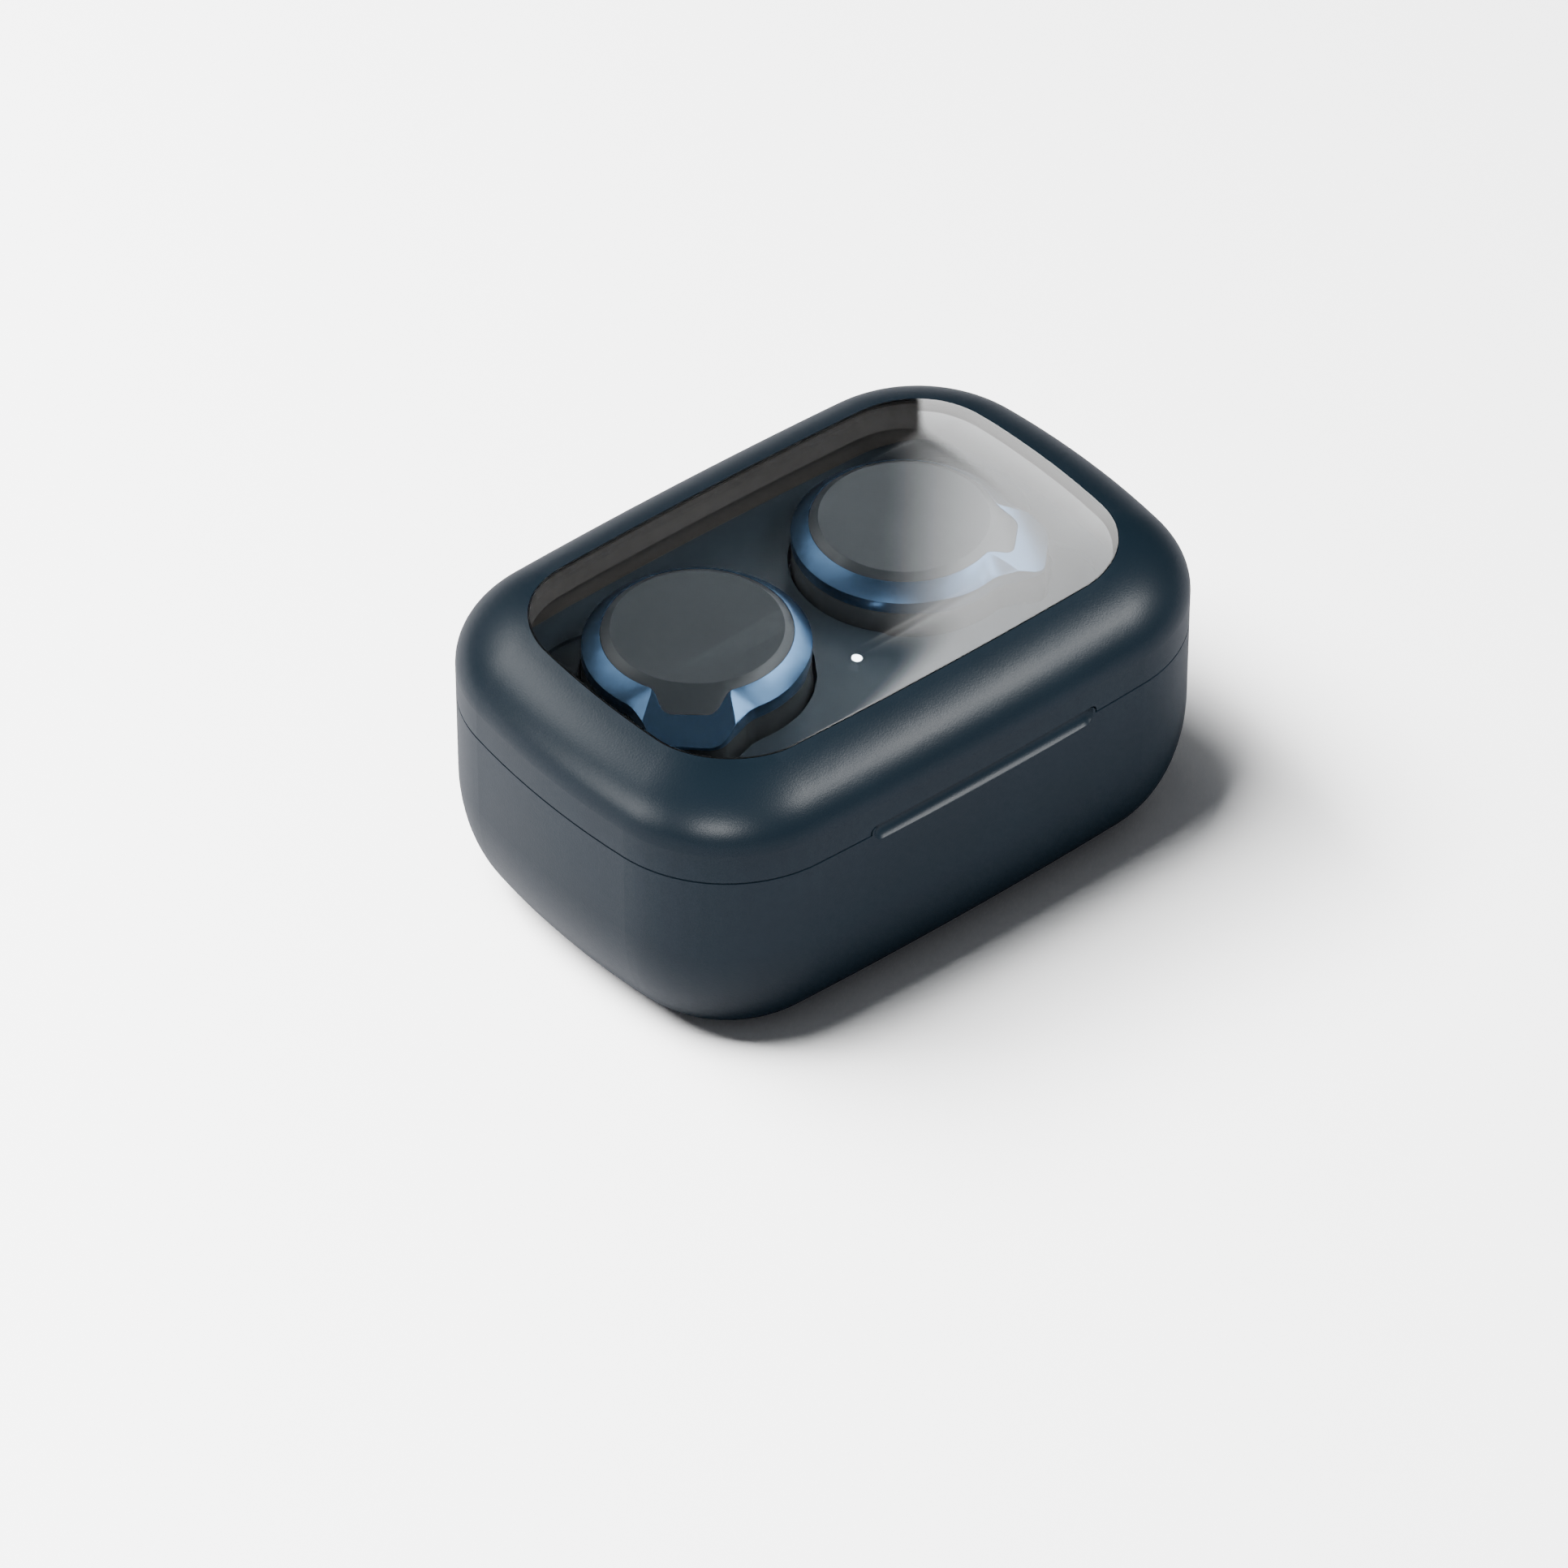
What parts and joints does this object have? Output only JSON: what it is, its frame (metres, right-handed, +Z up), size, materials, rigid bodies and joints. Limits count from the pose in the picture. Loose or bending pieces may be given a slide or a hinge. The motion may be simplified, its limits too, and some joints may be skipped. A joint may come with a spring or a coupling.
{
  "type": "wireless earbuds case",
  "caption": "Pocket charging case with a hinged windowed lid, cradles with sprung charging pins and a pair of in-ear wireless earbuds.",
  "frame": {"origin": "middle of the resting surface, under the centre of the case", "axes": "+Z up, +X to the right along the case seen from the opening side, +Y towards the hinge at the back"},
  "size_m": [0.075, 0.0522, 0.0352],
  "materials": {
    "satin_body": "satin, fine grained",
    "tray_plastic": "satin",
    "liner_plastic": "satin",
    "window": "clear, slightly smoky",
    "black_tape": "matte",
    "status_light": "milky, lit white",
    "dark_steel": "dark",
    "bright_steel": "bright",
    "copper_wire": "enamelled copper",
    "ferrite": "matte sheet",
    "black_plastic": "satin",
    "battery_pouch": "foil pouch",
    "foam": "foam",
    "circuit_board": "solder mask",
    "chip_black": "moulded",
    "magnet_metal": "nickel plated",
    "gold_contact": "gold plated",
    "bud_face": "satin",
    "blue_metal": "blue anodised",
    "bud_grey": "satin",
    "bud_grey_gloss": "smooth",
    "silicone": "soft silicone"
  },
  "bodies": {
    "base": {"base_magnets": "magnet_metal", "base_shell": "satin_body", "battery_cell": "battery_pouch", "battery_pad": "foam", "board_parts": "chip_black", "button_switch": "chip_black", "charge_socket": "bright_steel", "charging_coil": "copper_wire", "chassis_plate": "black_plastic", "chassis_screws": "bright_steel", "cradle_magnets": "magnet_metal", "ferrite_sheet": "ferrite", "hinge_bracket": "dark_steel", "hinge_pin": "bright_steel", "hinge_screws": "bright_steel", "inner_tray": "tray_plastic", "light_guide": "status_light", "main_board": "circuit_board", "pin_barrels": "gold_contact", "pin_boards": "circuit_board", "socket_board": "circuit_board", "socket_tongue": "black_plastic"},
    "lid": {"lid_frame": "satin_body", "lid_liner": "liner_plastic", "lid_magnets": "magnet_metal", "lid_window": "window", "window_tape": "black_tape"},
    "earbud_right": {"earbud_right_board": "circuit_board", "earbud_right_cell": "battery_pouch", "earbud_right_contacts": "gold_contact", "earbud_right_driver": "chip_black", "earbud_right_ear_side_housing": "bud_grey_gloss", "earbud_right_ear_tip": "silicone", "earbud_right_face_bezel": "blue_metal", "earbud_right_face_cap": "bud_face", "earbud_right_magnet": "magnet_metal", "earbud_right_nozzle_mesh": "bright_steel", "earbud_right_outer_housing": "bud_grey", "earbud_right_sound_nozzle": "bud_grey_gloss", "earbud_right_touch_sensor": "circuit_board"},
    "earbud_left": {"earbud_left_board": "circuit_board", "earbud_left_cell": "battery_pouch", "earbud_left_contacts": "gold_contact", "earbud_left_driver": "chip_black", "earbud_left_ear_side_housing": "bud_grey_gloss", "earbud_left_ear_tip": "silicone", "earbud_left_face_bezel": "blue_metal", "earbud_left_face_cap": "bud_face", "earbud_left_magnet": "magnet_metal", "earbud_left_nozzle_mesh": "bright_steel", "earbud_left_outer_housing": "bud_grey", "earbud_left_sound_nozzle": "bud_grey_gloss", "earbud_left_touch_sensor": "circuit_board"},
    "charge_pin_left_inner_plunger": {"charge_pin_left_inner": "gold_contact"},
    "charge_pin_left_outer_plunger": {"charge_pin_left_outer": "gold_contact"},
    "charge_pin_right_inner_plunger": {"charge_pin_right_inner": "gold_contact"},
    "charge_pin_right_outer_plunger": {"charge_pin_right_outer": "gold_contact"},
    "button": {"pairing_button": "satin_body"}
  },
  "joints": [
    {"name": "lid_hinge", "type": "hinge", "parent": "base", "child": "lid", "pos_m": [0, 0.0252, 0.0242], "axis": [-1, 0, 0], "range_deg": [0, 100]},
    {"name": "earbud_right_lift", "type": "slide", "parent": "base", "child": "earbud_right", "axis": [0, 0, 1], "range_m": [0, 0.0004]},
    {"name": "earbud_left_lift", "type": "slide", "parent": "base", "child": "earbud_left", "axis": [0, 0, 1], "range_m": [0, 0.0004]},
    {"name": "pairing_button_press", "type": "slide", "parent": "base", "child": "button", "axis": [0, -1, 0], "range_m": [0, 0.0003], "stiffness_N_per_m": 400},
    {"name": "charge_pin_left_inner_press", "type": "slide", "parent": "base", "child": "charge_pin_left_inner_plunger", "axis": [0, 0, -1], "range_m": [0, 0.0005], "stiffness_N_per_m": 80},
    {"name": "charge_pin_left_outer_press", "type": "slide", "parent": "base", "child": "charge_pin_left_outer_plunger", "axis": [0, 0, -1], "range_m": [0, 0.0005], "stiffness_N_per_m": 80},
    {"name": "charge_pin_right_inner_press", "type": "slide", "parent": "base", "child": "charge_pin_right_inner_plunger", "axis": [0, 0, -1], "range_m": [0, 0.0005], "stiffness_N_per_m": 80},
    {"name": "charge_pin_right_outer_press", "type": "slide", "parent": "base", "child": "charge_pin_right_outer_plunger", "axis": [0, 0, -1], "range_m": [0, 0.0005], "stiffness_N_per_m": 80}
  ]
}
